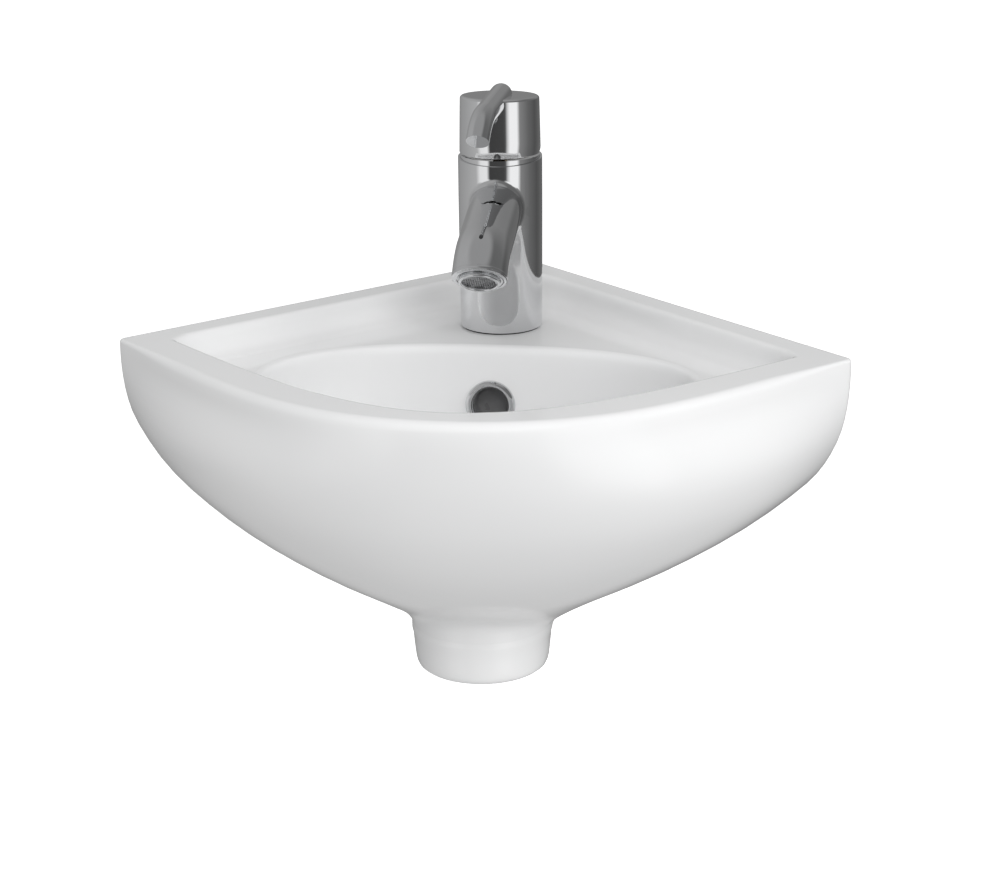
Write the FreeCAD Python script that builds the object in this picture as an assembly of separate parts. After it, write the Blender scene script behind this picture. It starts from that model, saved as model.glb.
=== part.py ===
import FreeCAD, Part
import math
import os

os.makedirs("parts", exist_ok=True)
V = FreeCAD.Vector

# Millimetres. X right along the front, Y back toward the room corner, Z up.
# The origin is the room corner of the rim, at the height of the rim.

# Basin: ledges, deck, bowl, skirt
LEDGE = 19.0            # flat ledge along each wall
DECK_Z = -14.0          # level of the recessed deck
DECK_T = 12.0           # thickness of the deck at the tap hole
WALL_T = 14.0           # back walls standing against the room walls
SKIN_T = 11.0           # skin of the body beside the rear pocket
HOLLOW_FRONT = -243.0   # the hollow behind and beside the bowl ends here
BOLT_R = 7.0            # wall bolt holes
BOLT_ALONG = 118.0      # from the room corner, along the wall
BOLT_Z = -62.0

# Depth, half width at the wall, flank angle, reach of the front
BODY = [
    (0.0, 200.0, 45.0, 333.0),
    (14.0, 199.9, 43.0, 332.8),
    (28.0, 198.6, 33.0, 330.4),
    (42.0, 195.8, 25.0, 326.8),
    (56.0, 190.9, 22.5, 322.1),
    (70.0, 183.8, 21.0, 316.0),
    (84.0, 173.5, 19.0, 307.8),
    (98.0, 160.4, 16.0, 297.8),
    (112.0, 143.7, 12.5, 284.8),
    (126.0, 123.2, 9.0, 268.2),
    (142.0, 93.2, 5.0, 244.6),
    (158.0, 60.8, 1.0, 218.3),
]
BODY_DEPTH = 158.0

# Depth, half width, back, front of the bowl, and how square its outline is
BOWL = [
    (-8.5, 122.0, -146.0, -308.0, 2.4),
    (-13.0, 121.5, -146.5, -306.4, 2.4),
    (-14.6, 118.6, -149.4, -305.6, 2.4),
    (-18.0, 116.6, -151.6, -304.0, 2.4),
    (-36.0, 112.5, -154.6, -301.0, 2.4),
    (-60.0, 105.0, -158.5, -296.5, 2.35),
    (-84.0, 91.0, -164.0, -285.0, 2.3),
    (-104.0, 70.0, -169.0, -263.0, 2.15),
    (-118.0, 48.0, -170.5, -240.0, 2.0),
    (-125.0, 37.0, -166.5, -234.0, 2.0),
    (-128.0, 33.5, -166.5, -233.5, 2.0),
]

# Waste, under the lowest part of the bowl
WASTE_Y = -200.0
SEAT_Z = -128.0
BOSS_Z = -150.0         # underside of the waste boss, inside the skirt
SKIRT_TOP_R = 39.6
SKIRT_LOW_R = 36.6
SKIRT_LOW_Z = -184.0
SKIRT_BORE_R = 31.0
WASTE_HOLE_R = 23.0
TAIL_R = 20.95
TAIL_BORE_R = 17.0
TAIL_LOW_Z = -180.0
TAIL_STEP_Z = -166.0     # below this the tail takes the trap's nut
THREAD_R = 20.4

# Overflow
OVER_Z = -44.0
OVER_Y = -155.6
OVER_R = 12.0
OVER_TILT = 9.0

# Tap
TAP_Y = -104.0
TAP_HOLE_R = 17.5
TAP_R = 24.0
TAP_FOOT_R = 23.7
TAP_LOW_Z = -13.0
TAP_TOP_Z = 85.5
TAP_TOP_DIP = 4.0       # degrees the top face dips toward the front
CHAMBER_Z = 50.0        # floor of the cartridge chamber
CHAMBER_R = 17.5
NUT_BORE_R = 20.15
NUT_BORE_Z = 72.0
SLEEVE_BORE_R = 22.8
SLEEVE_Z = 82.0
INLET = (7.5, -3.0)     # inlets, either side of the centre and a little forward
INLET_R = 4.5
STUD_BACK = 13.0
STUD_R = 4.0

# Spout centreline, measured forward from the tap axis
SPOUT_R = 15.1
SPOUT_START = (6.0, 62.4)
SPOUT_BEND = (71.8, 48.7)
SPOUT_SLOPE = 11.7
SPOUT_END_SLOPE = 51.9
SPOUT_RADIUS = 33.2
AERATOR_R = 11.2

# Handle
CAP_LOW_Z = 88.0
CAP_TOP_Z = 120.1
CAP_LOW_R = 23.1
CAP_TOP_R = 22.5
PIVOT_Z = 77.0
LIFT = 18.0
LEVER_AZ = 3.0          # the lever rests turned this far to the left
LEVER_R = 6.4
LEVER_START = (-4.6, 119.5)
LEVER_SLOPE = 2.7
LEVER_STRAIGHT = 49.5
LEVER_RADIUS = 31.7
LEVER_END_SLOPE = 47.8


# Basic shapes

def cyl(radius, low, high, x=0.0, y=0.0):
    return Part.makeCylinder(radius, high - low, V(x, y, low), V(0, 0, 1))


def cone(low_radius, high_radius, low, high, x=0.0, y=0.0):
    return Part.makeCone(low_radius, high_radius, high - low, V(x, y, low), V(0, 0, 1))


def ring(inner, outer, low, high, x=0.0, y=0.0):
    return cyl(outer, low, high, x, y).cut(cyl(inner, low - 1.0, high + 1.0, x, y))


def box(x0, x1, y0, y1, z0, z1):
    return Part.makeBox(x1 - x0, y1 - y0, z1 - z0, V(x0, y0, z0))


def rod(start, end, radius):
    along = end.sub(start)
    return Part.makeCylinder(radius, along.Length, start, along)


def hexagon(across, low, high, x=0.0, y=0.0):
    radius = across / math.sqrt(3.0)
    points = []
    for i in range(7):
        angle = math.radians(60.0 * i)
        points.append(V(x + radius * math.cos(angle), y + radius * math.sin(angle), low))
    return Part.Face(Part.makePolygon(points)).extrude(V(0, 0, high - low))


def prism(points, low, high):
    corners = [V(x, y, low) for x, y in points]
    corners.append(corners[0])
    return Part.Face(Part.makePolygon(corners)).extrude(V(0, 0, high - low))


def revolve(profile, x=0.0, y=0.0):
    points = [V(x + r, y, z) for r, z in profile]
    points.append(points[0])
    face = Part.Face(Part.makePolygon(points))
    return face.revolve(V(x, y, 0), V(0, 0, 1), 360)


def closed_curve(points):
    curve = Part.BSplineCurve()
    curve.interpolate(Points=points, PeriodicFlag=True)
    return Part.Wire([curve.toShape()])


def blend(edges, shape, radius):
    try:
        rounded = shape.makeFillet(radius, edges)
        if rounded.isValid() and rounded.Volume > 0.5 * shape.Volume:
            return rounded
    except Exception:
        pass
    return shape


# Basin: the outer body

def bezier(a, b, c, d, t):
    s = 1.0 - t
    x = s ** 3 * a[0] + 3 * s * s * t * b[0] + 3 * s * t * t * c[0] + t ** 3 * d[0]
    y = s ** 3 * a[1] + 3 * s * s * t * b[1] + 3 * s * t * t * c[1] + t ** 3 * d[1]
    return x, y


def flank_points(depth, width, angle, reach):
    """Half outline of the body at one depth, from the wall to the front."""
    lean = math.radians(angle)
    length = math.hypot(width, reach - width)
    wall = (width, -width)
    front = (0.0, -reach)
    pull = 0.39 * length
    near_wall = (width - pull * math.sin(lean), -width - pull * math.cos(lean))
    near_front = (pull, -reach)
    steps = [i / 12.0 for i in range(13)]
    return [bezier(wall, near_wall, near_front, front, t) for t in steps]


def body_outline(section):
    right = flank_points(*section)
    left = [(-x, y) for x, y in reversed(right[:-1])]
    return [V(x, y, -section[0]) for x, y in right + left]


def planar(edges):
    return Part.Face(Part.Wire(Part.__sortEdges__(edges)))


def body_solid(sections):
    """Skin through all outlines, closed by the two wall faces, top and bottom."""
    surface = Part.BSplineSurface()
    surface.interpolate([body_outline(section) for section in sections])
    skin = surface.toShape()
    high = -sections[0][0]
    low = -sections[-1][0]
    corner = Part.makeLine(V(0, 0, high), V(0, 0, low))
    faces = [skin]
    for level, section in ((high, sections[0]), (low, sections[-1])):
        width = section[1]
        lines = [Part.makeLine(V(0, 0, level), V(side * width, -width, level)) for side in (-1, 1)]
        curves = [edge for edge in skin.Edges if edge.BoundBox.ZLength < 0.01]
        curve = [edge for edge in curves if abs(edge.BoundBox.ZMin - level) < 0.01]
        faces.append(planar(lines + curve))
    for side in (-1, 1):
        lines = [corner]
        for level, section in ((high, sections[0]), (low, sections[-1])):
            lines.append(Part.makeLine(V(0, 0, level), V(side * section[1], -section[1], level)))
        curve = [edge for edge in skin.Edges if edge.BoundBox.ZLength > 1 and edge.BoundBox.Center.x * side > 1]
        faces.append(planar(lines + curve))
    solid = Part.Solid(Part.Shell(sewn(faces)))
    if solid.Volume < 0:
        solid.reverse()
    return solid


def sewn(faces):
    shell = Part.makeCompound(faces)
    shell.sewShape()
    return shell.Faces


def inner_sections():
    sections = []
    for depth, width, angle, reach in BODY[1:-1]:
        skin = SKIN_T + 7.0 * (depth / BODY_DEPTH) ** 3
        sections.append((depth, width - skin, angle, reach - skin))
    return sections


# Basin: recess, bowl, pocket

def recess_outline(inset, z):
    """Rounded three-cornered outline inside the ledges and the front rim."""
    near = -(LEDGE + inset) * math.sqrt(2.0)
    side_x = 171.0 - 1.15 * inset
    side_y = near - side_x
    front = -311.0 + inset
    points = []
    corner_r = 26.0
    centre = near - corner_r * math.sqrt(2.0)
    for i in range(7):
        angle = math.radians(90.0 - 7.5 * i)
        points.append((corner_r * math.cos(angle), centre + corner_r * math.sin(angle)))
    start = points[-1]
    turn = 9.0
    stop = (side_x - turn, near - side_x + turn)
    for i in range(1, 9):
        t = i / 8.0
        points.append((start[0] + (stop[0] - start[0]) * t, start[1] + (stop[1] - start[1]) * t))
    run = bezier((side_x, side_y), (side_x * 0.70, side_y - 0.30 * side_x * 0.96),
                 (62.0, front), (0.0, front), 0.07)
    mid = (side_x - 1.6, side_y - 0.4)
    points.append(mid)
    points.append(run)
    for i in range(1, 12):
        t = 0.07 + 0.93 * i / 11.0
        points.append(bezier((side_x, side_y), (side_x * 0.70, side_y - 0.30 * side_x * 0.96),
                             (62.0, front), (0.0, front), t))
    right = points
    left = [(-x, y) for x, y in reversed(right[1:-1])]
    return closed_curve([V(x, y, z) for x, y in right + left])


def recess():
    steps = [(1.0, -4.4), (0.0, -3.0), (-1.0, -1.1), (-3.0, 0.2), (-6.0, 1.4),
             (-9.0, 3.2), (-11.5, 6.0), (-13.2, 10.0), (DECK_Z, 15.0)]
    return Part.makeLoft([recess_outline(inset, z) for z, inset in steps], True, False)


def bowl_outline(z, half_width, back, front, square):
    """Squarish toward the back, rounder toward the front."""
    extra = square - 2.0
    middle = (back + front) / 2.0 + 0.17 * extra * (back - front)
    points = []
    for i in range(48):
        angle = 2.0 * math.pi * i / 48.0
        c, s = math.cos(angle), math.sin(angle)
        power = square if s > 0 else 2.0 - 0.25 * extra
        depth = back - middle if s > 0 else middle - front
        size = (abs(c) ** power + abs(s) ** power) ** (-1.0 / power)
        points.append(V(half_width * size * c, middle + depth * size * s, z))
    return closed_curve(points)


def bowl():
    return Part.makeLoft([bowl_outline(*section) for section in BOWL], True, False)


def bowl_shell():
    """The bowl grown by its wall thickness."""
    wires = []
    for z, half_width, back, front, square in BOWL:
        grown = (z - 1.0, half_width + SKIN_T, back + SKIN_T, front - SKIN_T, square)
        wires.append(bowl_outline(*grown))
    lowest = (BOWL[-1][0] - 16.0, 44.0, -156.0, -244.0, 2.0)
    wires.append(bowl_outline(*lowest))
    return Part.makeLoft(wires, True, False)


def hollow():
    """Space between the outer skin, the deck, the bowl and the back walls."""
    near = -WALL_T * math.sqrt(2.0)
    side = near - HOLLOW_FRONT
    plan = [(-8.0, near - 8.0), (8.0, near - 8.0), (side, HOLLOW_FRONT), (-side, HOLLOW_FRONT)]
    room = prism(plan, -142.0, DECK_Z - DECK_T)
    space = body_solid(inner_sections()).common(room)
    space = space.cut(bowl_shell())
    space = space.cut(cyl(SKIRT_TOP_R + 1.0, -170.0, -110.0, 0.0, WASTE_Y))
    space = space.cut(box(-22.0, 22.0, -185.0, -130.5, -170.0, 0.0))
    return max(space.Solids, key=lambda solid: solid.Volume)


def rear_opening():
    near = -WALL_T * math.sqrt(2.0)
    plan = [(-8.0, near - 8.0), (8.0, near - 8.0), (34.0, near - 34.0),
            (40.0, -84.0), (36.0, -129.0), (-36.0, -129.0), (-40.0, -84.0), (-34.0, near - 34.0)]
    return prism(plan, -BODY_DEPTH - 2.0, -140.0)


def overflow_channel():
    side = [(-150.0, -32.0), (-138.5, -32.0), (-138.5, -96.0), (-150.0, -124.0),
            (-160.0, -146.0), (-182.0, -146.0), (-182.0, -136.0), (-163.0, -132.0),
            (-158.0, -120.0), (-150.5, -100.0), (-147.0, -62.0)]
    points = [V(-11.0, y, z) for y, z in side]
    points.append(points[0])
    return Part.Face(Part.makePolygon(points)).extrude(V(22.0, 0, 0))


def overflow_axis():
    tilt = math.radians(OVER_TILT)
    return V(0, -math.cos(tilt), math.sin(tilt))


def wall_bolt_holes():
    holes = []
    step = BOLT_ALONG / math.sqrt(2.0)
    for side in (-1.0, 1.0):
        outward = V(side, 1.0, 0).normalize()
        start = V(side * step, -step, BOLT_Z).sub(outward * 30.0)
        holes.append(Part.makeCylinder(BOLT_R, 40.0, start, outward))
    return holes


def skirt():
    profile = [(0.0, -120.0), (SKIRT_TOP_R + 0.6, -120.0), (SKIRT_TOP_R, -158.0),
               (SKIRT_LOW_R + 0.9, -176.0), (SKIRT_LOW_R - 0.6, -180.5),
               (SKIRT_LOW_R - 3.4, SKIRT_LOW_Z + 0.8), (SKIRT_LOW_R - 5.2, SKIRT_LOW_Z),
               (0.0, SKIRT_LOW_Z)]
    return revolve(profile, 0.0, WASTE_Y)


def make_basin():
    body = body_solid(BODY)
    body = body.cut(hollow())
    body = body.cut(rear_opening())
    body = body.fuse(skirt())
    body = body.cut(recess())
    body = body.cut(bowl())
    body = body.cut(cyl(SKIRT_BORE_R, SKIRT_LOW_Z - 5.0, BOSS_Z, 0.0, WASTE_Y))
    body = body.cut(cyl(WASTE_HOLE_R, BOSS_Z - 1.0, SEAT_Z + 1.0, 0.0, WASTE_Y))
    body = body.cut(overflow_channel())
    mouth = V(0, OVER_Y, OVER_Z)
    out = overflow_axis()
    body = body.cut(rod(mouth + out * 8.0, mouth - out * 12.0, OVER_R))
    body = body.cut(rod(mouth + out * 8.0, mouth, 14.4))
    body = body.cut(cyl(TAP_HOLE_R, -60.0, 5.0, 0.0, TAP_Y))
    for hole in wall_bolt_holes():
        body = body.cut(hole)
    return body


def make_overflow_ring():
    out = overflow_axis()
    mouth = V(0, OVER_Y, OVER_Z)
    flange = rod(mouth, mouth + out * 2.0, 14.2)
    lip = rod(mouth + out * 2.0, mouth + out * 2.9, 12.6)
    sleeve = rod(mouth - out * 5.5, mouth, OVER_R - 0.3)
    bore = rod(mouth - out * 6.0, mouth + out * 4.0, 9.6)
    return flange.fuse(lip).fuse(sleeve).cut(bore)


# Waste

def make_waste_body():
    flange = revolve([(TAIL_BORE_R, -128.6), (TAIL_R, -128.6), (22.6, -126.4), (31.0, -126.4),
                      (31.0, -125.4), (26.5, -124.4), (21.0, -124.9), (TAIL_BORE_R, -127.2)],
                     0.0, WASTE_Y)
    tail = ring(TAIL_BORE_R, TAIL_R, TAIL_STEP_Z, -128.0, 0.0, WASTE_Y)
    thread = ring(TAIL_BORE_R, THREAD_R, TAIL_LOW_Z, TAIL_STEP_Z, 0.0, WASTE_Y)
    body = flange.fuse(tail).fuse(thread)
    for side in (-1.0, 1.0):
        slot = box(-9.0, 9.0, WASTE_Y + side * 19.0 - 6.0, WASTE_Y + side * 19.0 + 6.0, -146.0, -136.0)
        body = body.cut(slot)
    bridge = ring(6.2, 8.6, -165.0, -151.0, 0.0, WASTE_Y)
    for i in range(3):
        spoke = box(6.6, TAIL_BORE_R + 1.0, -1.3, 1.3, -165.0, -157.0)
        spoke.rotate(V(0, 0, 0), V(0, 0, 1), 120.0 * i + 90.0)
        spoke.translate(V(0, WASTE_Y, 0))
        bridge = bridge.fuse(spoke)
    return body.fuse(bridge)


def make_waste_top_seal():
    return ring(23.4, 30.0, SEAT_Z, -126.4, 0.0, WASTE_Y)


def make_waste_bottom_seal():
    return ring(21.1, 29.0, BOSS_Z - 3.0, BOSS_Z, 0.0, WASTE_Y)


def make_waste_back_nut():
    nut = hexagon(50.0, BOSS_Z - 13.0, BOSS_Z - 5.0, 0.0, WASTE_Y)
    nut = nut.fuse(cyl(28.5, BOSS_Z - 5.0, BOSS_Z - 3.0, 0.0, WASTE_Y))
    nut = nut.common(cyl(28.6, BOSS_Z - 20.0, BOSS_Z, 0.0, WASTE_Y))
    return nut.cut(cyl(TAIL_R + 0.05, BOSS_Z - 20.0, BOSS_Z, 0.0, WASTE_Y))


def make_waste_plug():
    top = revolve([(0.0, -117.0), (15.6, -117.0), (15.6, -115.6), (18.6, -115.6), (18.8, -114.6),
                   (16.0, -112.6), (9.0, -111.3), (0.0, -110.8)], 0.0, WASTE_Y)
    return top.cut(cyl(2.5, -118.0, -114.0, 0.0, WASTE_Y))


def make_waste_plug_seal():
    return ring(15.6, 18.2, -117.4, -115.6, 0.0, WASTE_Y).cut(ring(0.01, 15.6, -118.5, -117.0, 0.0, WASTE_Y))


def make_waste_stem():
    stem = cyl(2.5, -174.0, -114.0, 0.0, WASTE_Y)
    collar = cyl(5.6, -149.5, -147.5, 0.0, WASTE_Y)
    return stem.fuse(collar)


def make_waste_latch():
    """Sleeve in the bridge that guides the stem and holds the latch."""
    sleeve = ring(2.56, 6.15, -171.5, -168.0, 0.0, WASTE_Y)
    skin = ring(5.75, 6.15, -168.0, -147.0, 0.0, WASTE_Y)
    rim = ring(5.75, 8.4, -151.0, -149.8, 0.0, WASTE_Y)
    return sleeve.fuse(skin).fuse(rim)


def make_waste_spring():
    turns = 6.0
    low = -167.2
    high = -150.3
    helix = Part.makeHelix((high - low) / turns, high - low, 4.1)
    wire = Part.Wire(helix.Edges)
    profile = Part.Wire([Part.makeCircle(0.6, V(4.1, 0, 0), V(0, 1, 0))])
    spring = wire.makePipeShell([profile], True, True)
    spring.translate(V(0, WASTE_Y, low))
    return spring


# Tap

def forward(distance, z):
    """A point ahead of the tap axis."""
    return V(0, TAP_Y - distance, z)


def turned(shape):
    """Everything that swivels rests turned with the lever."""
    shape.rotate(V(0, TAP_Y, 0), V(0, 0, 1), -LEVER_AZ)
    return shape


def bent_line(start, slope, bend, radius, end_slope):
    """Straight run, then an arc bending down, in the upright plane ahead of the tap."""
    a0 = math.radians(slope)
    a1 = math.radians(end_slope)
    am = (a0 + a1) / 2.0
    middle = (bend[0] + radius * (math.sin(am) - math.sin(a0)),
              bend[1] - radius * (math.cos(a0) - math.cos(am)))
    end = (bend[0] + radius * (math.sin(a1) - math.sin(a0)),
           bend[1] - radius * (math.cos(a0) - math.cos(a1)))
    line = Part.makeLine(forward(*start), forward(*bend))
    arc = Part.Arc(forward(*bend), forward(*middle), forward(*end)).toShape()
    return Part.Wire([line, arc]), end


def swept(path, start, slope, radius):
    angle = math.radians(slope)
    direction = V(0, -math.cos(angle), -math.sin(angle))
    circle = Part.Wire([Part.makeCircle(radius, forward(*start), direction)])
    return path.makePipeShell([circle], True, False)


def spout_path():
    return bent_line(SPOUT_START, SPOUT_SLOPE, SPOUT_BEND, SPOUT_RADIUS, SPOUT_END_SLOPE)


def spout_end():
    end = spout_path()[1]
    angle = math.radians(SPOUT_END_SLOPE)
    return forward(*end), V(0, -math.cos(angle), -math.sin(angle))


def waterway(points, radius):
    way = None
    for start, end in zip(points, points[1:]):
        piece = rod(start, end, radius).fuse(Part.makeSphere(radius, end))
        way = piece if way is None else way.fuse(piece)
    return way


def make_tap_body():
    path, end = spout_path()
    spout = swept(path, SPOUT_START, SPOUT_SLOPE, SPOUT_R)
    column = cone(TAP_FOOT_R, TAP_R, TAP_LOW_Z, 60.0, 0.0, TAP_Y)
    column = column.fuse(cyl(TAP_R, 60.0, TAP_TOP_Z + 6.0, 0.0, TAP_Y))
    above = Part.makeBox(80.0, 80.0, 40.0, V(-40.0, TAP_Y - 40.0, TAP_TOP_Z))
    above.rotate(V(0, TAP_Y, TAP_TOP_Z), V(1, 0, 0), TAP_TOP_DIP)
    body = column.cut(above).fuse(spout)
    joint = [e for e in body.Edges if e.BoundBox.YMax < TAP_Y - 8.0 and e.BoundBox.YMin > TAP_Y - 26.0
             and e.BoundBox.ZMin > 38.0 and e.BoundBox.ZLength > 3.0]
    body = blend(joint, body, 4.0)
    body = body.fuse(ring(13.6, 16.9, TAP_LOW_Z - 5.0, TAP_LOW_Z, 0.0, TAP_Y))
    body = body.cut(cyl(CHAMBER_R, CHAMBER_Z, NUT_BORE_Z, 0.0, TAP_Y))
    body = body.cut(cyl(NUT_BORE_R, NUT_BORE_Z, SLEEVE_Z, 0.0, TAP_Y))
    body = body.cut(cyl(SLEEVE_BORE_R, SLEEVE_Z, 100.0, 0.0, TAP_Y))
    for side in (-1.0, 1.0):
        x = side * INLET[0]
        y = TAP_Y + INLET[1]
        body = body.cut(cyl(INLET_R, TAP_LOW_Z - 1.0, TAP_LOW_Z + 16.0, x, y))
        body = body.cut(cyl(3.3, TAP_LOW_Z + 10.0, CHAMBER_Z + 1.0, x, y + 6.0))
        body = body.cut(rod(V(x, y, TAP_LOW_Z + 13.0), V(x, y + 6.0, TAP_LOW_Z + 13.0), 3.3))
    tip, along = spout_end()
    turn_in = tip - along * 11.5
    way = [forward(8.0, 52.0), forward(8.0, 35.0), forward(19.0, 43.0), forward(31.0, 56.5)]
    body = body.cut(waterway(way, 3.6))
    outlet = swept(bent_line((31.0, 57.1), SPOUT_SLOPE, SPOUT_BEND, SPOUT_RADIUS, SPOUT_END_SLOPE - 14.0)[0],
                   (31.0, 57.1), SPOUT_SLOPE, 6.5)
    body = body.cut(outlet)
    body = body.cut(rod(turn_in - along * 4.0, tip, 6.5))
    body = body.cut(rod(turn_in, tip + along * 2.0, AERATOR_R))
    body = body.cut(cyl(STUD_R, TAP_LOW_Z - 6.0, TAP_LOW_Z + 14.0, 0.0, TAP_Y + STUD_BACK))
    return body


def make_tap_base_seal():
    return ring(17.6, 22.6, DECK_Z, TAP_LOW_Z, 0.0, TAP_Y)


def make_tap_stud():
    return cyl(STUD_R, -72.0, TAP_LOW_Z + 14.0, 0.0, TAP_Y + STUD_BACK)


def horseshoe(outer, low, high):
    plate = cyl(outer, low, high, 0.0, TAP_Y)
    plate = plate.cut(box(-13.5, 13.5, TAP_Y - 30.0, TAP_Y + 5.5, low - 1.0, high + 1.0))
    return plate.cut(cyl(STUD_R + 0.25, low - 1.0, high + 1.0, 0.0, TAP_Y + STUD_BACK))


def make_horseshoe_gasket():
    return horseshoe(24.0, -28.5, DECK_Z - DECK_T)


def make_horseshoe_washer():
    return horseshoe(23.0, -31.0, -28.5)


def make_fixing_nut():
    y = TAP_Y + STUD_BACK
    nut = hexagon(13.0, -40.0, -33.0, 0.0, y).fuse(cyl(8.0, -33.0, -31.0, 0.0, y))
    return nut.cut(cyl(STUD_R + 0.05, -41.0, -30.0, 0.0, y))


PORTS = [(-7.5, 3.0, 3.3), (7.5, 3.0, 3.3), (0.0, -8.0, 3.6)]


def ported(shape, low, high, grow=0.0):
    for x, y, radius in PORTS:
        shape = shape.cut(cyl(radius + grow, low, high, x, TAP_Y + y))
    return shape


def make_port_seals():
    seals = []
    for x, y, radius in PORTS:
        seals.append(ring(radius + 0.3, radius + 1.5, CHAMBER_Z, 50.8, x, TAP_Y + y))
    return Part.makeCompound(seals)


def make_cartridge_base():
    return ported(cyl(15.4, 50.8, 54.0, 0.0, TAP_Y), 50.0, 55.0)


def make_fixed_disc():
    return ported(cyl(15.2, 54.0, 57.0, 0.0, TAP_Y), 53.0, 58.0)


def make_moving_disc():
    disc = cyl(11.0, 57.02, 60.5, 0.0, TAP_Y)
    hollow_under = cyl(6.6, 56.0, 58.8, 0.0, TAP_Y - 1.5)
    return turned(disc.cut(hollow_under))


def make_disc_carrier():
    carrier = cyl(11.2, 60.52, 65.6, 0.0, TAP_Y)
    return turned(carrier.cut(cyl(3.45, 61.3, 68.0, 0.0, TAP_Y)))


def make_cartridge_housing():
    shell = ring(15.55, CHAMBER_R - 0.05, 51.0, 70.1, 0.0, TAP_Y)
    top = ring(12.15, CHAMBER_R - 0.05, 70.1, NUT_BORE_Z, 0.0, TAP_Y)
    neck = ring(12.15, 13.5, NUT_BORE_Z, 84.0, 0.0, TAP_Y)
    return shell.fuse(top).fuse(neck)


def make_spindle_guide():
    guide = cyl(15.2, 67.0, 70.0, 0.0, TAP_Y).fuse(cyl(12.1, 70.0, 85.0, 0.0, TAP_Y))
    guide = guide.cut(box(-3.65, 3.65, TAP_Y - 8.8, TAP_Y + 8.8, 66.0, 86.0))
    return turned(guide.cut(rod(V(-12.5, TAP_Y, PIVOT_Z), V(12.5, TAP_Y, PIVOT_Z), 1.5)))


def make_spindle():
    bar = box(-3.5, 3.5, TAP_Y - 3.5, TAP_Y + 3.5, 67.5, 104.0)
    neck = cyl(2.6, 63.5, 68.0, 0.0, TAP_Y)
    ball = Part.makeSphere(3.3, V(0, TAP_Y, 64.8))
    bar = bar.fuse(neck).fuse(ball)
    return turned(bar.cut(rod(V(-5, TAP_Y, PIVOT_Z), V(5, TAP_Y, PIVOT_Z), 1.55)))


def make_spindle_pin():
    return turned(rod(V(-11.8, TAP_Y, PIVOT_Z), V(11.8, TAP_Y, PIVOT_Z), 1.5))


def make_retaining_nut():
    nut = ring(13.8, NUT_BORE_R - 0.05, NUT_BORE_Z, 80.0, 0.0, TAP_Y)
    for i in range(6):
        notch = box(16.0, 22.0, -2.0, 2.0, 77.0, 81.0)
        notch.rotate(V(0, 0, 0), V(0, 0, 1), 60.0 * i)
        notch.translate(V(0, TAP_Y, 0))
        nut = nut.cut(notch)
    return nut


def make_trim_sleeve():
    return ring(19.6, SLEEVE_BORE_R - 0.1, SLEEVE_Z, 86.9, 0.0, TAP_Y)


def make_handle_cap():
    cap = cone(CAP_LOW_R, CAP_TOP_R, CAP_LOW_Z, CAP_TOP_Z, 0.0, TAP_Y)
    rims = [e for e in cap.Edges if e.BoundBox.ZMin > CAP_TOP_Z - 0.1]
    cap = blend(rims, cap, 1.6)
    cap = cap.cut(cyl(19.8, CAP_LOW_Z - 1.0, 104.5, 0.0, TAP_Y))
    socket = cyl(8.0, 93.5, 106.0, 0.0, TAP_Y)
    cap = cap.fuse(socket)
    cap = cap.cut(box(-3.55, 3.55, TAP_Y - 3.55, TAP_Y + 3.55, 90.0, 104.2))
    under = Part.makeBox(80.0, 60.0, 30.0, V(-40.0, 0.0, -30.0))
    under.rotate(V(0, 0, 0), V(1, 0, 0), LIFT + 3.0)
    under.translate(V(0, TAP_Y - 3.0, CAP_LOW_Z))
    cap = cap.cut(under)
    return turned(cap.cut(rod(V(0, TAP_Y + 3.0, 99.0), V(0, TAP_Y + 30.0, 99.0), 2.5)))


def make_handle_lever():
    path, end = bent_line(LEVER_START, LEVER_SLOPE, lever_bend(), LEVER_RADIUS, LEVER_END_SLOPE)
    lever = swept(path, LEVER_START, LEVER_SLOPE, LEVER_R)
    lever = lever.fuse(Part.makeSphere(LEVER_R, forward(*LEVER_START)))
    cap = cone(CAP_LOW_R, CAP_TOP_R, CAP_LOW_Z, CAP_TOP_Z, 0.0, TAP_Y)
    rims = [e for e in cap.Edges if e.BoundBox.ZMin > CAP_TOP_Z - 0.1]
    return turned(lever.cut(blend(rims, cap, 1.6)))


def lever_bend():
    slope = math.radians(LEVER_SLOPE)
    return (LEVER_START[0] + LEVER_STRAIGHT * math.cos(slope),
            LEVER_START[1] - LEVER_STRAIGHT * math.sin(slope))


def make_grub_screw():
    screw = rod(V(0, TAP_Y + 3.5, 99.0), V(0, TAP_Y + 16.0, 99.0), 2.45)
    socket = hexagon(2.5, 0.0, 3.0)
    socket.rotate(V(0, 0, 0), V(1, 0, 0), 90.0)
    socket.translate(V(0, TAP_Y + 16.5, 99.0))
    return turned(screw.cut(socket))


def make_grub_cover():
    return turned(rod(V(0, TAP_Y + 18.5, 99.0), V(0, TAP_Y + 23.2, 99.0), 2.45))


def make_aerator_housing():
    tip, along = spout_end()
    outer = rod(tip - along * 10.5, tip + along * 2.8, AERATOR_R - 0.1)
    housing = outer.cut(rod(tip - along * 11.0, tip + along * 4.0, 9.2))
    across = V(1, 0, 0)
    for i in range(4):
        spin = FreeCAD.Rotation(along, 45.0 + 90.0 * i)
        side = spin.multVec(across)
        notch = rod(tip + along * 2.8 + side * 9.0, tip + along * 2.8 + side * 12.0, 1.3)
        housing = housing.cut(notch)
    return housing


def make_aerator_screen():
    tip, along = spout_end()
    low = tip - along * 1.2
    screen = rod(low, low + along * 1.6, 9.15)
    u = V(1, 0, 0)
    w = along.cross(u)
    for i in range(-3, 4):
        for j in range(-3, 4):
            if math.hypot(i, j) * 2.3 > 7.6:
                continue
            hole = low + u * (2.3 * i) + w * (2.3 * j)
            screen = screen.cut(rod(hole - along, hole + along * 3.0, 0.8))
    return screen


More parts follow.
